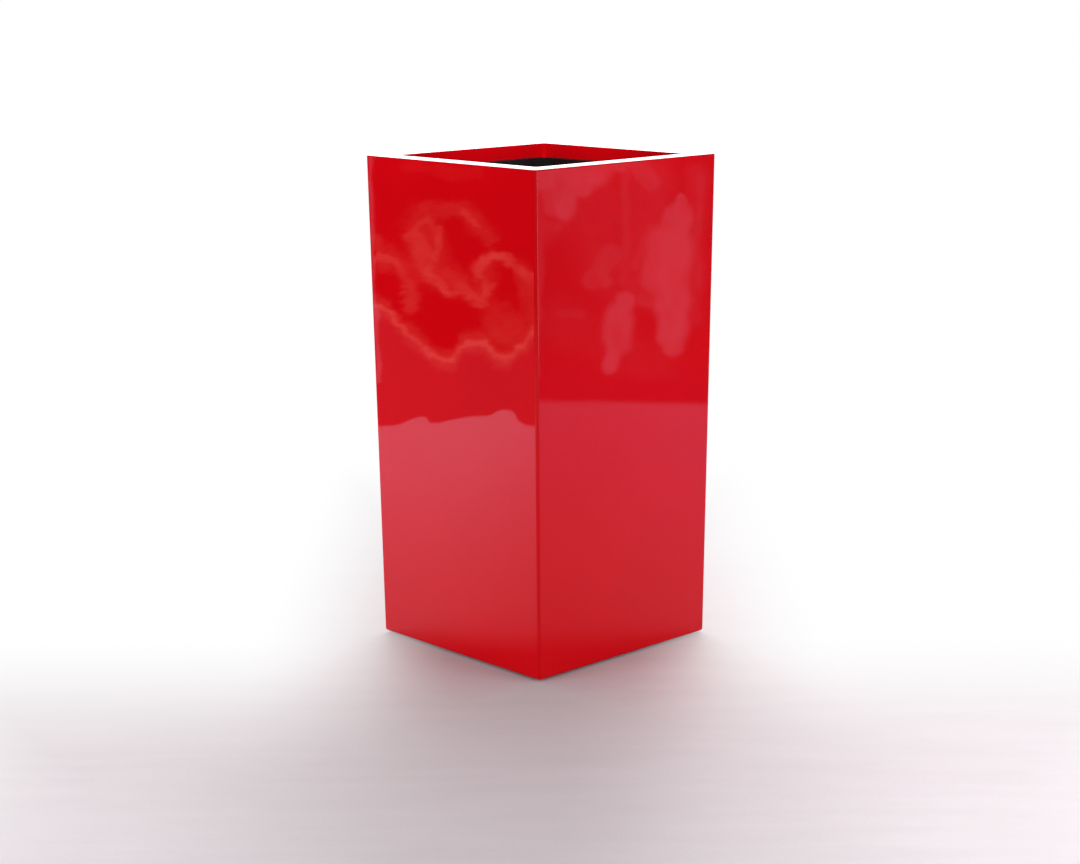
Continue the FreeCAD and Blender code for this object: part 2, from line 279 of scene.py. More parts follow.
class RingWall:
    """A wall that grows ring by ring. Each ring is a level square with rounded corners, or a circle where
    the corner is as large as the half width."""

    def __init__(self, bm, half, corner, z):
        self.bm = bm
        self.half = half
        self.corner = corner
        verts = bmesh.ops.create_grid(bm, x_segments=1, y_segments=1, size=half)["verts"]
        bmesh.ops.translate(bm, vec=(0.0, 0.0, z), verts=verts)
        face = round_corners(bm, verts, corner)[0].link_faces[0]
        self.edges = face.edges[:]
        bmesh.ops.delete(bm, geom=[face], context="FACES_ONLY")

    def grow(self, half, corner, z, material_index=0):
        """Extrudes the open ring and fits its new edges to this size and height."""
        made = bmesh.ops.extrude_edge_only(self.bm, edges=self.edges)["geom"]
        verts = pick(made, VERT)
        self.edges = pick(made, EDGE)
        for face in pick(made, FACE):
            face.material_index = material_index
        rounder = corner / self.corner
        for side_x, side_y in ((-1, -1), (-1, 1), (1, -1), (1, 1)):
            quarter = [v for v in verts if v.co.x * side_x > 0 and v.co.y * side_y > 0]
            old = Vector((side_x, side_y, 0.0)) * (self.half - self.corner)
            new = Vector((side_x, side_y, 0.0)) * (half - corner)
            bmesh.ops.translate(self.bm, vec=-old, verts=quarter)
            bmesh.ops.scale(self.bm, vec=(rounder, rounder, 1.0), verts=quarter)
            bmesh.ops.translate(self.bm, vec=new, verts=quarter)
        bmesh.ops.translate(self.bm, vec=(0.0, 0.0, z - verts[0].co.z), verts=verts)
        self.half = half
        self.corner = corner


def ring_edges(bm, half, z):
    """The edges of the ring this wide at this height. Its rounded corners lie a little further in."""
    def fits(co):
        return abs(co.z - z) < 1e-5 and half - 0.004 < max(abs(co.x), abs(co.y)) < half + 0.0005
    return [e for e in bm.edges if all(fits(v.co) for v in e.verts)]


print("ring tools ready:", RingWall.__name__, "with", CORNER_STEPS, "steps to a corner")

# %% [markdown]
# ## The shell
# The shell is one square moulding, so one mesh makes it. It starts at the foot and goes up the outside,
# which leans out a little so that the moulding could leave its mould. Then it goes in over the rim, down
# the lip, out under it, up behind it, out under the rim, down the inside to the floor, and through the
# drain hole back to the foot. The outside is red. The inside shows the raw laminate.

# %% The shell's mesh
RIM_Z = 0.816
UNDERSIDE_Z = 0.003
FLOOR_TOP_Z = 0.010
LIP_BOTTOM_Z = 0.7895
THICKNESS = 0.005
RIM_HALF = 0.203
BASE_HALF = 0.1935
MOUTH_HALF = 0.166
ROOM_TOP_HALF = 0.1979
ROOM_FLOOR_HALF = 0.1886
DRAIN_RADIUS = 0.0125
DRAIN_HALF = DRAIN_RADIUS + 0.00001
OUTER_CORNER = 0.005
MOUTH_CORNER = 0.006
ROOM_CORNER = 0.008
RIM_ROUND = 0.002
MOUTH_ROUND = 0.0015
BASE_ROUND = 0.0049
FLOOR_ROUND = 0.0079
SAME_POINT = 0.00003
RAW = 1


def build_shell_mesh():
    bm = bmesh.new()
    behind_lip = MOUTH_HALF + THICKNESS, MOUTH_CORNER + THICKNESS
    under_rim_z = RIM_Z - THICKNESS
    wall = RingWall(bm, BASE_HALF, OUTER_CORNER, UNDERSIDE_Z)
    wall.grow(RIM_HALF, OUTER_CORNER, RIM_Z)
    wall.grow(MOUTH_HALF, MOUTH_CORNER, RIM_Z)
    wall.grow(MOUTH_HALF, MOUTH_CORNER, LIP_BOTTOM_Z)
    wall.grow(*behind_lip, LIP_BOTTOM_Z, RAW)
    wall.grow(*behind_lip, under_rim_z, RAW)
    wall.grow(ROOM_TOP_HALF, ROOM_CORNER, under_rim_z, RAW)
    wall.grow(ROOM_FLOOR_HALF, ROOM_CORNER, FLOOR_TOP_Z, RAW)
    wall.grow(DRAIN_HALF, DRAIN_RADIUS, FLOOR_TOP_Z, RAW)
    wall.grow(DRAIN_HALF, DRAIN_RADIUS, UNDERSIDE_Z, RAW)
    wall.grow(BASE_HALF, OUTER_CORNER, UNDERSIDE_Z)
    bmesh.ops.remove_doubles(bm, verts=bm.verts[:], dist=SAME_POINT)
    bmesh.ops.recalc_face_normals(bm, faces=bm.faces[:])
    round_edges(bm, ring_edges(bm, RIM_HALF, RIM_Z), RIM_ROUND)
    round_edges(bm, ring_edges(bm, MOUTH_HALF, RIM_Z), MOUTH_ROUND)
    round_edges(bm, ring_edges(bm, BASE_HALF, UNDERSIDE_Z), BASE_ROUND, segments=5)
    round_edges(bm, ring_edges(bm, ROOM_FLOOR_HALF, FLOOR_TOP_Z), FLOOR_ROUND, segments=5)
    return bm


def new_piece(bm, name, body, materials, sharp_degrees=40.0):
    """Turns a bmesh into a smooth-shaded object that rides on a body."""
    mesh = bpy.data.meshes.new(name)
    bm.to_mesh(mesh)
    bm.free()
    mesh.shade_smooth()
    mesh.set_sharp_from_angle(angle=math.radians(sharp_degrees))
    for material in materials:
        mesh.materials.append(material)
    piece = bpy.data.objects.new(name, mesh)
    bpy.context.scene.collection.objects.link(piece)
    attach(piece, body)
    return piece


shell = new_piece(build_shell_mesh(), "planter_shell", "planter", [red_gelcoat, raw_laminate])
even_shading = shell.modifiers.new("even_shading", "WEIGHTED_NORMAL")
even_shading.keep_sharp = True
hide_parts("shell")
print("shell faces:", len(shell.data.polygons))

# %% [markdown]
# ## Black plastics and rubber
# The parts that are not fiberglass are black. Moulded plastic has the fine even grain of the steel mould,
# soft rubber is duller and its grain is coarser, and both turn a little paler where hands and boxes have
# rubbed them. One helper makes all of these finishes, because only the colour, the gloss and the grain
# differ.

# %% Black plastics and rubber
RUBBED_GAIN = 1.8
GLOSS_SPREAD = 0.07


def make_black_finish(name, colour, roughness, grain_scale, grain_depth):
    material, graph, shader, place = new_material(name, IOR=1.49)
    wear = graph.noise(place, scale=18.0, detail=4.0, roughness=0.6)
    rubbed = tuple(c * RUBBED_GAIN for c in colour[:3]) + (1.0,)
    graph.feed(shader.inputs["Base Color"], graph.mix_colour(graph.smooth(wear, 0.4, 0.7), colour, rubbed))
    gloss = graph.smooth(wear, 0.3, 0.7, roughness - GLOSS_SPREAD, roughness + GLOSS_SPREAD)
    graph.feed(shader.inputs["Roughness"], gloss)
    graph.feed(shader.inputs["Normal"], graph.bump(graph.noise(place, grain_scale), grain_depth))
    return material


bail_plastic = make_black_finish("bail_plastic", (0.018, 0.018, 0.019, 1.0), roughness=0.38,
                                 grain_scale=1400.0, grain_depth=0.00004)
soft_grip = make_black_finish("soft_grip", (0.030, 0.030, 0.031, 1.0), roughness=0.70,
                              grain_scale=1200.0, grain_depth=0.00008)
black_rubber = make_black_finish("black_rubber", (0.016, 0.016, 0.016, 1.0), roughness=0.62,
                                 grain_scale=1500.0, grain_depth=0.00005)
print("made", bail_plastic.name, soft_grip.name, black_rubber.name)

# %% [markdown]
# ## The liner
# The liner is a tapered black tub that hangs by its flange, with drain holes in its floor and four ears for
# the bails. The measured solid already has all of that, with its rounded corners, so its mesh stays and
# only gets a finish. The plastic carries upright draw marks from the mould, and soil dust clings near the
# floor.

# %% The liner
LINER_FLOOR_Z = 0.496
DUST_HEIGHT = 0.16
DUST_SHARE = 0.75
SOIL_DUST = (0.085, 0.060, 0.042, 1.0)
LINER_BLACK, LINER_PALER = (0.005, 0.005, 0.006, 1.0), (0.011, 0.010, 0.010, 1.0)
UPRIGHT = (160.0, 160.0, 5.0)


def make_liner_plastic():
    material, graph, shader, place = new_material("black_liner", IOR=1.49)
    height = graph.add("ShaderNodeSeparateXYZ", {"Vector": place}).outputs["Z"]
    patches = graph.noise(place, scale=24.0, detail=5.0, roughness=0.65)
    low_down = graph.smooth(height, LINER_FLOOR_Z + DUST_HEIGHT, LINER_FLOOR_Z, high=DUST_SHARE)
    dust = graph.product(low_down, graph.smooth(patches, 0.40, 0.65))
    colour = graph.mix_colour(patches, LINER_BLACK, LINER_PALER)
    graph.feed(shader.inputs["Base Color"], graph.mix_colour(dust, colour, SOIL_DUST))
    draw_marks = graph.noise(graph.vector("MULTIPLY", place, UPRIGHT), scale=1.0)
    gloss = graph.smooth(draw_marks, 0.3, 0.7, low=0.34, high=0.48)
    graph.feed(shader.inputs["Roughness"], graph.math("MULTIPLY_ADD", dust, 0.35, gloss))
    grain = graph.bump(graph.noise(place, scale=900.0), 0.00005)
    graph.feed(shader.inputs["Normal"], graph.bump(draw_marks, 0.00002, normal=grain))
    return material


def finish_node(name, material):
    """Gives a solid's own mesh this material, and leaves its shape as it is."""
    slots = CAD_NODES[name].data.materials
    slots.clear()
    slots.append(material)
    print("finished", name, "with", material.name)


finish_node("liner", make_liner_plastic())

# %% [markdown]
# ## The ledge and the feet
# The ledge is an angle frame of laminate that is bonded behind the lip and sprayed with the same gelcoat.
# It shows as a thin red line where the liner's corners are rounder than the mouth. The four rubber pads
# under the floor keep the wet underside off a good floor. Both are simple shapes, so their solids stay.

# %% The ledge and the feet
finish_node("ledge_frame", red_gelcoat)
for end in ("front", "back"):
    for hand in ("left", "right"):
        finish_node(f"foot_{end}_{hand}", black_rubber)

# %% [markdown]
# ## The lift bails
# Two moulded straps shaped like a U hang inside the liner and lift it out. A curve with a bevel could make
# the strap, but a strap has a flat section that must not twist. So its small cross-section is drawn once
# and carried along: pushed straight down the leg, spun round the corner, pushed across, spun again, and
# pushed up.

# %% A bail
PIVOT_X = 0.1343
PIVOT_Z = 0.763
LEG_Y = 0.0685
LEG_TOP_Z = PIVOT_Z + 0.0065
BEND_Y = 0.050
BEND_Z = 0.6815
BEND_STEPS = 10
STRAP_HALF_SECTION = (0.003, 0.0065, 1.0)
LEG_END_ROUND = 0.0055
STRAP_ROUND = 0.0012
PIN_RADIUS = 0.004
PIN_LENGTH = 0.0105
PIN_Y = 0.08025
PIN_ROUND = 0.0007
SIDES = (("left", -1), ("right", 1))


def spread_y(edge):
    """How far apart the two ends of an edge lie, from front to back."""
    return abs(edge.verts[0].co.y - edge.verts[1].co.y)


def sweep_strap(bm, x):
    """Carries the strap's section down one leg, round a bend, across, round the other bend and up."""
    bmesh.ops.create_grid(bm, x_segments=1, y_segments=1, size=1.0)
    bmesh.ops.scale(bm, vec=STRAP_HALF_SECTION, verts=bm.verts[:])
    bmesh.ops.translate(bm, vec=(x, -LEG_Y, LEG_TOP_Z), verts=bm.verts[:])

    def push(end, vec):
        made = bmesh.ops.extrude_face_region(bm, geom=end, use_keep_orig=len(bm.faces) == 1)["geom"]
        bmesh.ops.translate(bm, vec=vec, verts=pick(made, VERT))
        return pick(made, FACE)

    def bend(end, centre_y):
        made = bmesh.ops.spin(bm, geom=end, cent=(x, centre_y, BEND_Z), axis=(1, 0, 0), angle=QUARTER_TURN,
                              steps=BEND_STEPS, use_merge=False)
        return pick(made["geom_last"], FACE)

    end = push(bm.faces[:], (0, 0, BEND_Z - LEG_TOP_Z))
    end = bend(end, -BEND_Y)
    end = push(end, (0, 2 * BEND_Y, 0))
    end = bend(end, BEND_Y)
    push(end, (0, 0, LEG_TOP_Z - BEND_Z))
    bmesh.ops.remove_doubles(bm, verts=bm.verts[:], dist=1e-6)
    bmesh.ops.recalc_face_normals(bm, faces=bm.faces[:])


def add_pin(bm, x, y):
    """One of the two round pins that turn in the liner's ears."""
    pin = bmesh.ops.create_cone(bm, cap_ends=True, segments=24, radius1=PIN_RADIUS, radius2=PIN_RADIUS,
                                depth=PIN_LENGTH)["verts"]
    bmesh.ops.rotate(bm, cent=(0, 0, 0), matrix=Matrix.Rotation(QUARTER_TURN, 3, "X"), verts=pin)
    bmesh.ops.translate(bm, vec=(x, y, PIVOT_Z), verts=pin)
    rims = list({e for v in pin for e in v.link_edges if spread_y(e) < 1e-5})
    round_edges(bm, rims, PIN_ROUND, segments=2)


def build_bail_mesh(side):
    bm = bmesh.new()
    x = side * PIVOT_X
    sweep_strap(bm, x)
    tops = [e for e in bm.edges if spread_y(e) < 1e-5
            and all(abs(v.co.z - LEG_TOP_Z) < 1e-5 for v in e.verts)]
    round_edges(bm, tops, LEG_END_ROUND, segments=6)
    sharp = [e for e in bm.edges if e.is_manifold and e.calc_face_angle() > math.radians(60)]
    round_edges(bm, sharp, STRAP_ROUND, segments=3)
    for y in (-PIN_Y, PIN_Y):
        add_pin(bm, x, y)
    return bm


for word, side in SIDES:
    bail = new_piece(build_bail_mesh(side), f"lift_bail_{word}", f"{word}_handle", [bail_plastic])
    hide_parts(f"lift_handle_{word}")
    print(word, "bail faces:", len(bail.data.polygons))

# %% [markdown]
# ## The soft grips
# A grip of soft rubber is moulded round the middle of each bail, with shallow rings so that a wet hand does
# not slip. A rounded section is grown along the strap ring by ring, and every second ring is a little
# smaller.

# %% A grip
GRIP_LENGTH = 0.092
GRIP_Z = PIVOT_Z - 0.100
GRIP_HALF_SECTION = (0.0075, 0.0095, 1.0)
GRIP_CORNER = 0.0055
GRIP_STEPS = 46
STEP_LENGTH = GRIP_LENGTH / GRIP_STEPS
END_SIZE = 0.86
GROOVE_SIZE = 0.94


def resize(bm, verts, size):
    bmesh.ops.scale(bm, vec=(size, size, 1.0), verts=verts)


def build_grip_mesh(side):
    bm = bmesh.new()
    verts = bmesh.ops.create_grid(bm, x_segments=1, y_segments=1, size=1.0)["verts"]
    bmesh.ops.scale(bm, vec=GRIP_HALF_SECTION, verts=verts)
    round_corners(bm, verts, GRIP_CORNER)
    resize(bm, bm.verts[:], END_SIZE)
    end = bm.faces[:]
    size = END_SIZE
    ring_sizes = [GROOVE_SIZE if index % 2 else 1.0 for index in range(GRIP_STEPS - 1)] + [END_SIZE]
    for new_size in ring_sizes:
        made = bmesh.ops.extrude_face_region(bm, geom=end, use_keep_orig=len(bm.faces) == 1)["geom"]
        end = pick(made, FACE)
        resize(bm, pick(made, VERT), new_size / size)
        bmesh.ops.translate(bm, vec=(0, 0, STEP_LENGTH), verts=pick(made, VERT))
        size = new_size
    bmesh.ops.recalc_face_normals(bm, faces=bm.faces[:])
    bmesh.ops.translate(bm, vec=(0, 0, -GRIP_LENGTH / 2), verts=bm.verts[:])
    bmesh.ops.rotate(bm, cent=(0, 0, 0), matrix=Matrix.Rotation(QUARTER_TURN, 3, "X"), verts=bm.verts[:])
    bmesh.ops.translate(bm, vec=(side * PIVOT_X, 0, GRIP_Z), verts=bm.verts[:])
    return bm


for word, side in SIDES:
    grip = new_piece(build_grip_mesh(side), f"soft_grip_{word}", f"{word}_handle", [soft_grip],
                     sharp_degrees=60.0)
    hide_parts(f"handle_grip_{word}")
    print(word, "grip faces:", len(grip.data.polygons))

# %% [markdown]
# ## The drain plug
# The bung is round, so half of its outline is drawn as a chain of points and spun about the upright axis.
# The tab to pull it by is a block with rounded edges that stands on the head.

# %% The drain plug
PLUG_OUTLINE = ((0.0, 0.0040), (0.0102, 0.0040), (0.01095, 0.0047), (0.0123, 0.0098), (0.0180, 0.0101),
                (0.0190, 0.0112), (0.0190, 0.0131), (0.0181, 0.0140), (0.0, 0.0140))
PLUG_STEPS = 48
TAB_SIZE = (0.020, 0.006, 0.0175)
TAB_MIDDLE_Z = 0.01925
TAB_ROUND = 0.0015


def build_plug_mesh():
    bm = bmesh.new()
    verts = [bm.verts.new((radius, 0.0, z)) for radius, z in PLUG_OUTLINE]
    edges = [bm.edges.new(pair) for pair in zip(verts, verts[1:])]
    bmesh.ops.spin(bm, geom=verts + edges, cent=(0, 0, 0), axis=(0, 0, 1), angle=math.radians(360),
                   steps=PLUG_STEPS, use_merge=True)
    bmesh.ops.remove_doubles(bm, verts=bm.verts[:], dist=1e-5)
    bmesh.ops.recalc_face_normals(bm, faces=bm.faces[:])
    tab = bmesh.ops.create_cube(bm, size=1.0)["verts"]
    bmesh.ops.scale(bm, vec=TAB_SIZE, verts=tab)
    bmesh.ops.translate(bm, vec=(0, 0, TAB_MIDDLE_Z), verts=tab)
    round_edges(bm, list({e for v in tab for e in v.link_edges}), TAB_ROUND)
    return bm


plug = new_piece(build_plug_mesh(), "drain_bung", "plug", [black_rubber])
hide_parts("drain_plug")
print("plug faces:", len(plug.data.polygons))

# %% [markdown]
# ## The floor
# The planter stands on a wide sheet of white paper that runs towards the camera and away behind the object.
# It isn't part of the planter: it is only there to take the shadow, so one flat face does.

# %% The floor
AHEAD = Vector((math.cos(CAMERA_BEARING), math.sin(CAMERA_BEARING), 0.0))
TO_RIGHT = Vector((AHEAD.y, -AHEAD.x, 0.0))
PAPER_HALF = 2.4
PAPER_NEAR = -3.2
PAPER_FAR = 6.0


def build_paper():
    bm = bmesh.new()
    bmesh.ops.create_grid(bm, x_segments=1, y_segments=1, size=1.0)
    for vert in bm.verts:
        along = PAPER_FAR if vert.co.y > 0 else PAPER_NEAR
        vert.co = TO_RIGHT * vert.co.x * PAPER_HALF + AHEAD * along
    mesh = bpy.data.meshes.new("paper_floor")
    bm.to_mesh(mesh)
    bm.free()
    paper = bpy.data.objects.new("paper_floor", mesh)
    bpy.context.scene.collection.objects.link(paper)
    return paper


paper = build_paper()
print("paper floor:", 2 * PAPER_HALF, "m wide,", PAPER_FAR - PAPER_NEAR, "m long")

# %% [markdown]
# ## The paper's tones
# The camera sees near-white paper that melts into the white background at the back and the sides. The soft
# shadow lies in front, because most of the light comes from behind. On top of that, light is painted into
# the paper's colour for the camera: lighter to the sides, lighter still to the right, and white close beside
# the planter, where it pales the shadow. The gloss of the walls sees the same sheet in painted tones of its
# own, with a painted shadow of the planter on it. Each zone below is a soft step, given as the two distances
# in metres where it starts and ends.

# %% The paper's tones
WHITE = (1.0, 1.0, 1.0, 1.0)
SEEN_PAPER = (0.67, 0.622, 0.652, 1.0)
FAR_PAPER = (0.96, 0.93, 0.95, 1.0)
LIGHT_PAPER = (0.82, 0.80, 0.82, 1.0)
# painted light on the paper: gains that make it lighter to the sides and to the right
PAINTED_SIDE_LIGHT, SIDE_WIDE, SIDE_ALONG = 1.18, (0.20, 0.60), (-0.10, -0.95)
PAINTED_RIGHT_LIGHT, RIGHT_ACROSS = 1.24, (0.0, 0.28)
FAR_REACH = (1.15, 1.60)
GRAIN_STRETCH, GRAIN_SHARE = 5.0, 0.035
# painted light and shade in the gloss: the mirrored paper is painted lighter to the left, far out and behind
# the planter, and painted dark in the planter's shadow
LEFT_TONES = (0.56, 0.52, 0.64, 1.0), (0.90, 0.82, 1.10, 1.0)
RIGHT_TONES = (0.38, 0.36, 0.45, 1.0), (0.40, 0.36, 0.60, 1.0)
MIRROR_REACH, MIRROR_ACROSS = (0.35, 1.7), (-0.3, 0.3)
AHEAD_PAINTED_LIGHT, AHEAD_ALONG = 1.3, (-0.29, 0.02)
SHADOW_TONE = (0.13, 0.11, 0.13, 1.0)
SHADOW_WIDE, SHADOW_ALONG, SHADOW_REACH = (0.30, 0.13), (0.10, -0.10), (0.60, 0.40)
FRONT_SHADOW_SHARE, FRONT_SHADOW_ALONG = 0.75, (-0.32, -0.55)
# painted light: where the sheet turns white close beside the planter, paling its shadow
PAINTED_BESIDE_WIDE, PAINTED_BESIDE_ALONG = (0.12, 0.50), (-0.75, 0.0)
FADE_ALONG, FADE_REACH, FADE_WIDE = (-0.3, 1.6), (1.15, 1.90), (0.60, 1.10)
print("paper tones: seen", SEEN_PAPER[:3], "mirrored", LEFT_TONES[0][:3], "to", RIGHT_TONES[1][:3])

# %% [markdown]
# ## Where a point of the paper lies
# All of these zones are measured from the planter's middle, as the camera faces it, so they are worked out
# once for the whole finish. For glossy rays the paper is painted with two edges and the dark room beyond
# them, where it glows with the room's tone: a painted reflection. The left edge is buckled. A sine would
# make it too even, so a drawn curve gives it its waves.

# %% Where a point of the paper lies
LEFT_EDGE, LEFT_BLUR = 1.93, 0.02
RIGHT_EDGE, RIGHT_BLUR = 2.12, 0.05
WAVE_HEIGHT, WAVE_REACH = 0.36, 0.30
LEFT_WAVES = ((-0.30, 0.40), (-0.159, 0.30), (-0.115, 0.45), (-0.070, 0.82), (-0.035, 0.62), (0.005, 0.60),
              (0.060, 0.50), (0.099, 0.42), (0.129, 0.60), (0.193, 0.35), (0.30, 0.40))
LEFT_ROOM_TONE = (0.22, 0.13, 0.18, 1.0)
RIGHT_ROOM_TONE = (0.12, 0.07, 0.13, 1.0)


def drawn_curve(graph, value, low, high, points):
    """A curve through points (value, height), for values from low to high; heights lie between 0 and 1."""
    inputs = {"Value": value, "From Min": low, "From Max": high}
    share = graph.add("ShaderNodeMapRange", inputs).outputs["Result"]
    node = graph.add("ShaderNodeFloatCurve", {"Value": share})
    line = node.mapping.curves[0].points
    while len(line) < len(points):
        line.new(0.5, 0.5)
    for point, (at, height) in zip(line, points):
        point.location = ((at - low) / (high - low), height)
    node.mapping.update()
    return node.outputs[0]


class PaperPlace:
    """Where a point of the paper lies, as the camera faces it: across, along, how wide to either side, and
    how far out."""

    def __init__(self, graph):
        self.point = graph.add("ShaderNodeTexCoord").outputs["Object"]
        self.across = graph.vector("DOT_PRODUCT", self.point, tuple(TO_RIGHT))
        self.along = graph.vector("DOT_PRODUCT", self.point, tuple(AHEAD))
        self.wide = graph.math("ABSOLUTE", self.across)
        self.reach = graph.vector("LENGTH", self.point)


def past_edges(graph, at):
    """Where the paper, for glossy rays, is painted past its two edges on the left and on the right: there it
    glows with the room's tone, a painted reflection of the room beyond the sheet.
    """
    wave = drawn_curve(graph, at.along, -WAVE_REACH, WAVE_REACH, LEFT_WAVES)
    left_edge = graph.math("MULTIPLY_ADD", wave, WAVE_HEIGHT, LEFT_EDGE - WAVE_HEIGHT / 2)
    past_left = graph.smooth(graph.math("ADD", at.across, left_edge), LEFT_BLUR, -LEFT_BLUR)
    past_right = graph.smooth(at.across, RIGHT_EDGE - RIGHT_BLUR, RIGHT_EDGE + RIGHT_BLUR)
    return (past_left, LEFT_ROOM_TONE), (past_right, RIGHT_ROOM_TONE)


print("in the gloss the sheet ends", LEFT_EDGE, "m to the left and", RIGHT_EDGE, "m to the right")

# %% [markdown]
# ## The paper's finish
# The two looks of the paper are made apart and then joined by the kind of ray that meets it: one look for
# the camera, one for the gloss, and a plain pale tone for the light that bounces. The fade to white is for
# the camera alone, so the sheet still throws its light back on the planter.

# %% The paper's finish


def mirrored_paper(graph, at):
    """The paper's colour for glossy rays only, all painted: lighter to the left, further out and behind the
    planter, with a painted shadow of the planter beside it and in front of it.
    """
    far = graph.smooth(at.reach, *MIRROR_REACH)
    left = graph.mix_colour(far, *LEFT_TONES)
    right = graph.mix_colour(far, *RIGHT_TONES)
    tone = graph.mix_colour(graph.smooth(at.across, *MIRROR_ACROSS), left, right)
    tone = graph.mix_colour(graph.smooth(at.along, *AHEAD_ALONG), tone, graph.scaled(tone, AHEAD_PAINTED_LIGHT))
    # painted shadow of the planter, beside it and in front of it
    shadow = graph.product(graph.smooth(at.wide, *SHADOW_WIDE), graph.smooth(at.along, *SHADOW_ALONG),
                           graph.smooth(at.reach, *SHADOW_REACH))
    shadow = graph.largest(shadow, graph.smooth(at.along, *FRONT_SHADOW_ALONG, high=FRONT_SHADOW_SHARE))
    return graph.mix_colour(shadow, tone, SHADOW_TONE)


def seen_paper(graph, at):
    """The paper before the camera: painted light makes it lighter to the sides, most of all to the right; it
    has a streaky grain.
    """
    # painted light: the sheet is made lighter to the sides, and lighter still to the right
    sides = graph.product(graph.smooth(at.wide, *SIDE_WIDE), graph.smooth(at.along, *SIDE_ALONG))
    side_painted_paper = tuple(c * PAINTED_SIDE_LIGHT for c in SEEN_PAPER[:3]) + (1.0,)
    tone = graph.mix_colour(sides, SEEN_PAPER, side_painted_paper)
    tone = graph.mix_colour(graph.smooth(at.across, *RIGHT_ACROSS), tone, graph.scaled(tone, PAINTED_RIGHT_LIGHT))
    tone = graph.mix_colour(graph.smooth(at.reach, *FAR_REACH), tone, FAR_PAPER)
    streaked = {"X": at.across, "Y": graph.math("MULTIPLY", at.along, GRAIN_STRETCH)}
    streaked = graph.add("ShaderNodeCombineXYZ", streaked).outputs[0]
    grain = graph.noise(streaked, scale=4.0, detail=6.0, roughness=0.65)
    grain = graph.math("ADD", grain, graph.noise(at.point, scale=380.0))
    return graph.scaled(tone, graph.smooth(grain, 0.7, 1.3, 1 - GRAIN_SHARE, 1 + GRAIN_SHARE))


def faded_paper(graph, at):
    """How far the sheet has melted into the white background, away from the planter on every side. Close
    beside the planter the white is painted light that pales the planter's shadow there.
    """
    # painted light: white close beside the planter, which pales its shadow there
    beside = graph.product(graph.smooth(at.wide, *PAINTED_BESIDE_WIDE), graph.smooth(at.along, *PAINTED_BESIDE_ALONG))
    return graph.largest(graph.smooth(at.along, *FADE_ALONG), graph.smooth(at.reach, *FADE_REACH),
                         graph.smooth(at.wide, *FADE_WIDE), beside)


def make_paper():
    material = bpy.data.materials.new("white_paper")
    material.use_nodes = True
    material.node_tree.nodes.clear()
    graph = Graph(material.node_tree)
    at = PaperPlace(graph)
    rays = graph.add("ShaderNodeLightPath").outputs
    colour = graph.mix_colour(rays["Is Glossy Ray"], LIGHT_PAPER, mirrored_paper(graph, at))
    colour = graph.mix_colour(rays["Is Camera Ray"], colour, seen_paper(graph, at))
    sheet = graph.add("ShaderNodeBsdfPrincipled", {"Base Color": colour, "Roughness": 0.62, "IOR": 1.45})
    faded = graph.product(faded_paper(graph, at), rays["Is Camera Ray"])
    surface = graph.mix_shader(faded, sheet.outputs[0], graph.emission(WHITE))
    # painted reflection: past the two drawn edges the paper glows with the room's tone for glossy rays
    for past, tone in past_edges(graph, at):
        past = graph.product(past, rays["Is Glossy Ray"])
        surface = graph.mix_shader(past, surface, graph.emission(tone))
    graph.finish("ShaderNodeOutputMaterial", surface)
    return material


paper.data.materials.append(make_paper())
print("paper finish:", paper.data.materials[0].name)

# %% [markdown]
# ## The light that the gloss shows
# A glossy wall is mostly a picture of the room. The left wall mirrors a dim corner where warm light falls
# on crumpled cloth, and the right wall mirrors pale cut sheets. The room could be built, but it is never
# seen itself, so it is drawn by direction, as a star map is. Each streak is a short soft line from one
# direction to another: bearing, height, bearing, height, half width, all in degrees, and then its strength.
# The ridge is the line along which the cloth hangs over the paper, as pairs of bearing and height.

# %% Streaks of light
WARM_STREAKS = (
    (129.90, -7.66, 130.14, -8.60, 0.24, 0.45), (130.14, -8.60, 130.74, -9.20, 0.16, 0.60),
    (130.74, -9.20, 131.13, -9.02, 0.10, 0.55), (131.13, -9.02, 131.60, -9.44, 0.18, 0.50),
    (131.60, -9.44, 131.86, -9.07, 0.16, 0.50), (131.86, -9.07, 131.60, -8.55, 0.13, 0.50),
    (131.60, -8.55, 131.97, -8.24, 0.13, 0.70), (131.97, -8.24, 132.28, -8.31, 0.10, 0.75),
    (132.28, -8.31, 133.07, -8.86, 0.13, 0.50), (133.07, -8.86, 133.09, -9.91, 0.10, 0.25),
    (130.24, -8.44, 130.50, -7.79, 0.13, 0.45), (130.50, -7.79, 130.61, -7.45, 0.10, 0.40),
    (131.18, -7.11, 131.50, -7.45, 0.10, 0.50), (131.50, -7.45, 131.89, -7.82, 0.21, 0.20),
    (128.96, -8.24, 129.46, -8.34, 0.13, 0.50), (129.46, -8.34, 129.61, -8.71, 0.13, 0.35),
    (129.61, -8.71, 129.66, -9.59, 0.13, 0.30), (129.09, -8.50, 128.93, -7.87, 0.16, 0.25),
    (132.15, -10.09, 132.54, -10.22, 0.47, 0.25), (130.14, -6.96, 130.97, -7.03, 0.21, 0.20),
    (129.95, -7.77, 130.01, -7.35, 0.10, 0.40), (130.01, -7.35, 130.29, -7.27, 0.10, 0.40),
    (130.35, -7.30, 130.45, -7.61, 0.10, 0.30), (129.78, -5.88, 130.34, -6.02, 0.13, 0.07),
    (130.34, -6.02, 131.68, -6.10, 0.16, 0.07),
)
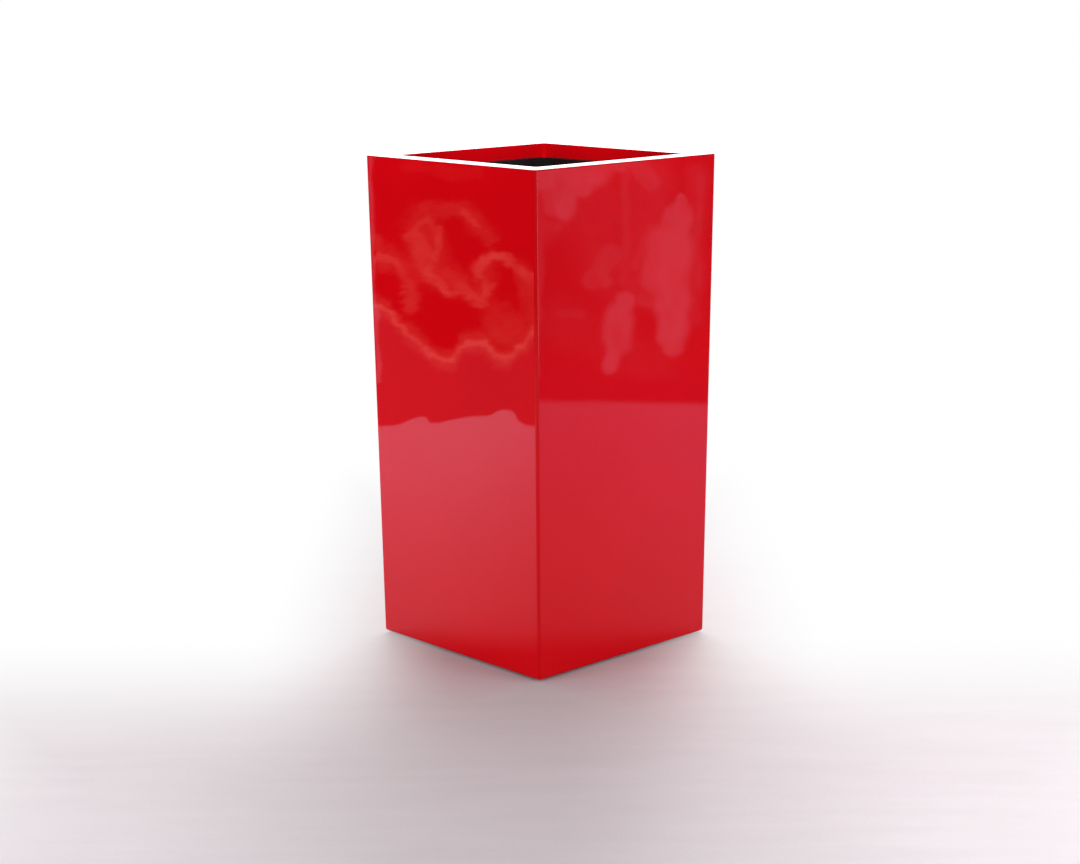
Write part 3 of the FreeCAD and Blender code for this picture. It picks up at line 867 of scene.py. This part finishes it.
WARM_HAZE = (
    (130.06, -7.32, 130.42, -8.63, 0.42, 0.20), (131.21, -7.06, 131.63, -7.48, 0.22, 0.22),
    (130.42, -8.63, 131.05, -8.89, 0.30, 0.28), (129.22, -8.16, 129.74, -8.63, 0.26, 0.22),
    (129.69, -8.63, 129.69, -9.36, 0.16, 0.16), (131.84, -8.68, 131.63, -9.25, 0.28, 0.20),
    (132.78, -8.63, 132.99, -9.78, 0.22, 0.20), (132.05, -9.78, 132.36, -10.30, 0.38, 0.18),
    (129.90, -7.17, 130.69, -7.01, 0.22, 0.16),
)
COOL_HAZE = (
    (-45.18, -6.96, -44.55, -8.63, 0.85, 0.13), (-43.61, -6.33, -43.92, -9.04, 0.60, 0.16),
    (-42.38, -6.17, -42.46, -9.88, 0.30, 0.14), (-45.97, -10.09, -43.40, -11.13, 0.60, 0.07),
    (-46.44, -7.69, -45.55, -7.11, 0.35, 0.14),
)
COOL_STREAKS = (
    (-46.54, -6.12, -45.23, -5.99, 0.62, 0.62), (-46.12, -6.43, -45.97, -7.06, 0.36, 0.58),
    (-45.63, -6.33, -45.52, -6.62, 0.30, 0.55), (-46.44, -6.43, -46.39, -7.16, 0.18, 0.42),
    (-46.52, -7.58, -46.12, -7.61, 0.14, 0.22), (-44.66, -5.86, -44.37, -5.91, 0.26, 0.45),
    (-44.03, -5.96, -43.66, -6.38, 0.26, 0.34), (-45.44, -6.96, -45.02, -6.51, 0.12, 0.22),
    (-44.29, -6.17, -44.32, -9.04, 0.13, 0.22), (-42.30, -6.28, -42.35, -9.04, 0.12, 0.22),
    (-42.83, -6.88, -42.87, -7.06, 0.17, 0.58), (-42.89, -7.32, -42.96, -7.63, 0.42, 0.60),
    (-43.06, -8.10, -43.19, -8.84, 0.68, 0.60), (-43.09, -9.04, -42.99, -9.51, 0.56, 0.60),
    (-42.94, -9.83, -42.93, -10.25, 0.42, 0.60), (-42.90, -10.40, -42.90, -10.66, 0.27, 0.55),
    (-43.56, -7.69, -44.03, -8.52, 0.20, 0.28), (-44.28, -9.51, -44.37, -9.83, 0.26, 0.55),
    (-44.44, -9.98, -44.50, -10.51, 0.44, 0.55), (-44.59, -10.72, -44.68, -11.11, 0.27, 0.55),
    (-44.66, -8.31, -45.18, -8.99, 0.30, 0.28), (-44.92, -8.73, -44.76, -9.04, 0.18, 0.32),
    (-43.82, -9.51, -43.56, -9.57, 0.16, 0.28), (-45.97, -9.88, -45.50, -9.88, 0.14, 0.16),
    (128.74, -12.70, 128.76, -5.40, 0.07, 0.55), (-46.70, -12.00, -46.62, -5.40, 0.16, 0.20),
)
RIDGE_LOW = -11.2
RIDGE_HIGH = -9.2
RIDGE = ((127.0, -9.3), (128.93, -9.51), (129.4, -9.96), (129.8, -10.38), (130.01, -10.66), (130.29, -10.87),
         (130.69, -11.0), (130.92, -10.74), (131.18, -10.51), (131.45, -10.51), (131.76, -10.66),
         (132.02, -10.95), (132.28, -11.0), (132.54, -10.74), (132.81, -10.59), (133.12, -10.22),
         (135.0, -9.9))

for title, lines in (("warm", WARM_STREAKS + WARM_HAZE), ("cool", COOL_STREAKS + COOL_HAZE)):
    print(title, "streaks of light:", len(lines))

# %% [markdown]
# ## Looking round the room
# A mirrored ray has a direction, and two angles name it: the bearing round the planter and the height over
# the horizon. A moulded wall is never quite flat, so the direction is also moved to and fro by a little
# noise, which bends every line that is drawn with it.

# %% Looking round the room
CRINKLE_SCALE, CRINKLE = (4.6, 7.5, 1.0), (0.46, 0.46, 0.0)
BEND_SCALE, BEND = (1.1, 1.1, 1.1), (0.55, 0.55, 0.0)
GENTLE_SCALE, GENTLE_BEND = (0.8, 0.8, 0.8), (0.38, 0.38, 0.0)
NOISE_MIDDLE = (0.5, 0.5, 0.5)


class Look:
    """The direction that a ray takes, in degrees: bearing, height, both as one vector, and how far its
    bearing is off the camera's."""

    def __init__(self, graph):
        self.graph = graph
        ray = graph.add("ShaderNodeTexCoord").outputs["Generated"]
        parts = graph.add("ShaderNodeSeparateXYZ", {"Vector": ray}).outputs
        self.bearing = graph.math("DEGREES", graph.math("ARCTAN2", parts["Y"], parts["X"]))
        self.height = graph.math("DEGREES", graph.math("ARCSINE", parts["Z"]))
        both = {"X": self.bearing, "Y": self.height, "Z": 0.0}
        self.both = graph.add("ShaderNodeCombineXYZ", both).outputs[0]
        self.off_axis = graph.off(self.bearing, math.degrees(CAMERA_BEARING))

    def near(self, bearing, end, start):
        """1 near this bearing and 0 far from it."""
        return self.graph.smooth(self.graph.off(self.bearing, bearing), end, start)

    def shaken(self, place, scale, detail, amount):
        """A place in the room, moved a little to and fro by noise, as in a wall that isn't quite flat."""
        graph = self.graph
        noise = graph.noise(graph.vector("MULTIPLY", self.both, scale), 1.0, detail, 0.6, output="Color")
        return graph.vector("MULTIPLY_ADD", graph.vector("SUBTRACT", noise, NOISE_MIDDLE), amount, place)


print("directions ready:", Look.__name__)

# %% [markdown]
# ## Light on cloth
# Each streak is as bright as its strength along its own line, and fades out round its half width. Where two
# of them cross, the brighter one shows, as on a lit fold. A stretched noise puts the weave into the light,
# and the ridge is a drawn curve from left to right.

# %% Light on cloth


def draw_streaks(graph, place, streaks, softness):
    """The brightest of these soft lines at this place."""
    brightest = 0.0
    for x0, y0, x1, y1, half_width, strength in streaks:
        run = Vector((x1 - x0, y1 - y0, 0.0))
        from_start = graph.vector("SUBTRACT", place, (x0, y0, 0.0))
        share = graph.vector("DOT_PRODUCT", from_start, tuple(run / run.length_squared))
        share = graph.add("ShaderNodeClamp", {"Value": share}).outputs[0]
        away = graph.vector("DISTANCE", from_start, graph.scaled(tuple(run), share))
        glow = graph.smooth(away, (1 + softness) * half_width, (1 - softness) * half_width, high=strength)
        brightest = graph.largest(brightest, glow)
    return brightest


def lit_cloth(graph, place, streaks, haze, weave):
    """Streaks and haze together, each with its softness, and the weave of the cloth in them. The weave is
    the scale of a noise, where its soft step starts and ends, and its weakest and strongest share."""
    light = graph.largest(draw_streaks(graph, place, *streaks), draw_streaks(graph, place, *haze))
    scale, *steps = weave
    cloth = graph.noise(graph.vector("MULTIPLY", place, scale), scale=1.0, detail=3.0, roughness=0.6)
    return graph.product(light, graph.smooth(cloth, *steps))


def over_ridge(graph, place):
    """How many degrees a place lies over the ridge of the cloth."""
    parts = graph.add("ShaderNodeSeparateXYZ", {"Vector": place}).outputs
    points = [(at, (up - RIDGE_LOW) / (RIDGE_HIGH - RIDGE_LOW)) for at, up in RIDGE]
    ridge = drawn_curve(graph, parts["X"], RIDGE[0][0], RIDGE[-1][0], points)
    ridge = graph.math("MULTIPLY_ADD", ridge, RIDGE_HIGH - RIDGE_LOW, RIDGE_LOW)
    return graph.math("SUBTRACT", parts["Y"], ridge)


print("ridge drawn through", len(RIDGE), "points")

# %% [markdown]
# ## The room
# The world's shader draws that room for glossy rays only. Behind the planter stands a bright backdrop, and
# its grazing reflection makes the flat rim pure white. The camera sees plain white, and the light that
# falls on everything is plain too: bright from behind, dim elsewhere.

# %% The room
DIM_LEFT, DIM_RIGHT = (0.012, 0.008, 0.012, 1.0), (0.12, 0.07, 0.10, 1.0)
WARM_TINT = (2.9, 0.86, 0.70, 1.0)
COOL_TINT = (1.15, 0.76, 1.10, 1.0)
BACKDROP_TINT = (3.4, 3.4, 3.4, 1.0)
FRONT_TINT = (1.7, 1.3, 1.5, 1.0)
LEFT_BEARING, RIGHT_BEARING, FRONT_BEARING = 131.0, -44.0, -64.0
LEFT_REACH, RIGHT_REACH, FRONT_REACH, FRONT_HEIGHT = (12.0, 5.0), (10.0, 5.0), (15.0, 8.0), (35.0, 15.0)
TO_RIGHT_HALF, UNDER_RIDGE, LOW_DOWN = (20.0, -20.0), (0.10, -0.10), (-10.8, -11.8)
WARM_SOFT, WARM_HAZE_SOFT, COOL_SOFT, COOL_HAZE_SOFT = 0.55, 0.8, 0.35, 0.7
FIBRES = (1.6, 9.0, 1.0), 0.30, 0.62, 0.5, 1.1
CLOTH = (2.4, 1.1, 1.0), 0.30, 0.60, 0.75, 1.1
CREST_LINE, CREST_SHARE = (0.15, 0.02), 0.75
CREST_HALO, HALO_SHARE = (0.42, 0.0), 0.32
HORIZON = (-3.0, 2.0)
BACKDROP_REACH, BACKDROP_TOP = (48.0, 24.0), (55.0, 30.0)
GLOW_REACH, GLOW_TOP = (110.0, 40.0), (60.0, 25.0)
PLAIN_LIGHT, GLOW_LIGHT = 0.38, 0.95


def dim_room(graph, look, over, left_side):
    """The room without its lights: nearly black, a little paler under the ridge and low on the right."""
    room = graph.mix_colour(graph.smooth(look.bearing, *TO_RIGHT_HALF), DIM_LEFT, DIM_RIGHT)
    under = graph.product(graph.smooth(over, *UNDER_RIDGE), left_side)
    room = graph.mix_colour(under, room, LEFT_ROOM_TONE)
    below = graph.product(graph.smooth(look.height, *LOW_DOWN), look.near(RIGHT_BEARING, *RIGHT_REACH))
    return graph.mix_colour(below, room, RIGHT_ROOM_TONE)


def add_glow(graph, colour, amount, tint):
    node = graph.add("ShaderNodeMix", blend_type="ADD", data_type="RGBA", clamp_factor=False)
    for index, value in ((0, amount), (6, colour), (7, tint)):
        graph.feed(node.inputs[index], value)
    return node.outputs[2]


def mirrored_room(graph, look):
    """All that the glossy walls mirror above the paper."""
    crinkled = look.shaken(look.both, CRINKLE_SCALE, 4.0, CRINKLE)
    bent = look.shaken(crinkled, BEND_SCALE, 6.0, BEND)
    gently_bent = look.shaken(look.both, GENTLE_SCALE, 4.0, GENTLE_BEND)
    over = over_ridge(graph, crinkled)
    from_ridge = graph.math("ABSOLUTE", over)
    left_side = look.near(LEFT_BEARING, *LEFT_REACH)
    warm = lit_cloth(graph, bent, (WARM_STREAKS, WARM_SOFT), (WARM_HAZE, WARM_HAZE_SOFT), FIBRES)
    cool = lit_cloth(graph, gently_bent, (COOL_STREAKS, COOL_SOFT), (COOL_HAZE, COOL_HAZE_SOFT), CLOTH)
    crest = graph.largest(graph.smooth(from_ridge, *CREST_LINE, high=CREST_SHARE),
                          graph.smooth(from_ridge, *CREST_HALO, high=HALO_SHARE))
    warm = graph.product(graph.largest(warm, crest), left_side)
    backdrop = graph.product(graph.smooth(look.off_axis, *BACKDROP_REACH),
                             graph.smooth(look.height, *HORIZON), graph.smooth(look.height, *BACKDROP_TOP))
    front = graph.product(look.near(FRONT_BEARING, *FRONT_REACH),
                          graph.smooth(graph.math("ABSOLUTE", look.height), *FRONT_HEIGHT))
    room = dim_room(graph, look, over, left_side)
    for glow, tint in ((warm, WARM_TINT), (cool, COOL_TINT), (backdrop, BACKDROP_TINT), (front, FRONT_TINT)):
        room = add_glow(graph, room, glow, tint)
    return room


def plain_light(graph, look):
    """The strength of the light that falls on everything: more of it comes from behind the planter."""
    glow = graph.product(graph.smooth(look.off_axis, *GLOW_REACH), graph.smooth(look.height, *HORIZON),
                         graph.smooth(look.height, *GLOW_TOP))
    return graph.math("MULTIPLY_ADD", glow, GLOW_LIGHT, PLAIN_LIGHT)


def background(graph, colour, strength):
    return graph.add("ShaderNodeBackground", {"Color": colour, "Strength": strength}).outputs[0]


def build_room():
    world = bpy.data.worlds.new("studio_room")
    bpy.context.scene.world = world
    world.use_nodes = True
    world.node_tree.nodes.clear()
    graph = Graph(world.node_tree)
    look = Look(graph)
    rays = graph.add("ShaderNodeLightPath").outputs
    plain = background(graph, WHITE, plain_light(graph, look))
    mirrored = background(graph, mirrored_room(graph, look), 1.0)
    light = graph.mix_shader(rays["Is Glossy Ray"], plain, mirrored)
    light = graph.mix_shader(rays["Is Camera Ray"], light, background(graph, WHITE, 1.0))
    graph.finish("ShaderNodeOutputWorld", light)
    return world


room = build_room()
print("room drawn with", len(room.node_tree.nodes), "nodes")

# %% [markdown]
# ## The lamps
# Four soft lamps light the planter. One wide panel stands high up behind it, as the backdrop does, and one
# stands far out on each side for the two walls. A narrow spot, high up in front, reaches into the mouth and
# shows the back of the lip. None of them shows in the gloss, where the room has been drawn already.

# %% The lamps
PANEL_PLACE, PANEL_AIM = AHEAD * 1.6 + Vector((0, 0, 2.6)), Vector((0, 0, 0.3))
PANEL_SIZE, PANEL_WATTS = (2.2, 2.2), 30.0
SIDE_BEARINGS = (("left_panel", 165.0), ("right_panel", 288.4))
SIDE_AWAY, SIDE_UP, SIDE_AIM = 3.2, Vector((0, 0, 0.56)), Vector((0, 0, 0.40))
SIDE_SIZE, SIDE_WATTS = (1.6, 1.0), 53.0
SPOT_PLACE, SPOT_AIM = AHEAD * -1.5 + Vector((0, 0, 2.0)), AHEAD * 0.27 + Vector((0, 0, RIM_Z))
SPOT_WATTS, SPOT_SOFT_SIZE, SPOT_CONE, SPOT_BLEND = 170.0, 0.08, math.radians(17.0), 0.6


def place_lamp(data, place, target):
    """Hangs a lamp there and turns it to its target. Neither the camera nor the gloss sees it."""
    lamp = bpy.data.objects.new(data.name, data)
    bpy.context.scene.collection.objects.link(lamp)
    lamp.location = place
    lamp.rotation_euler = (target - place).to_track_quat("-Z", "Y").to_euler()
    lamp.visible_glossy = False
    lamp.visible_camera = False
    print(lamp.name, round(data.energy, 1), "W, aimed from", [round(c, 2) for c in place])


def add_panel(name, place, target, size, watts):
    data = bpy.data.lights.new(name, "AREA")
    data.shape = "RECTANGLE"
    data.size, data.size_y = size
    data.energy = watts
    place_lamp(data, place, target)


def add_spot(name, place, target, watts):
    data = bpy.data.lights.new(name, "SPOT")
    data.energy = watts
    data.shadow_soft_size = SPOT_SOFT_SIZE
    data.spot_size = SPOT_CONE
    data.spot_blend = SPOT_BLEND
    place_lamp(data, place, target)


add_panel("high_panel", PANEL_PLACE, PANEL_AIM, PANEL_SIZE, PANEL_WATTS)
for name, bearing in SIDE_BEARINGS:
    beside = Vector((math.cos(math.radians(bearing)), math.sin(math.radians(bearing)), 0.0))
    add_panel(name, beside * SIDE_AWAY + SIDE_UP, SIDE_AIM, SIDE_SIZE, SIDE_WATTS)
add_spot("mouth_spot", SPOT_PLACE, SPOT_AIM, SPOT_WATTS)

# %% [markdown]
# ## The colour view
# The last line sets the colour view to Standard.

# %% The colour view
bpy.context.scene.view_settings.view_transform = "Standard"
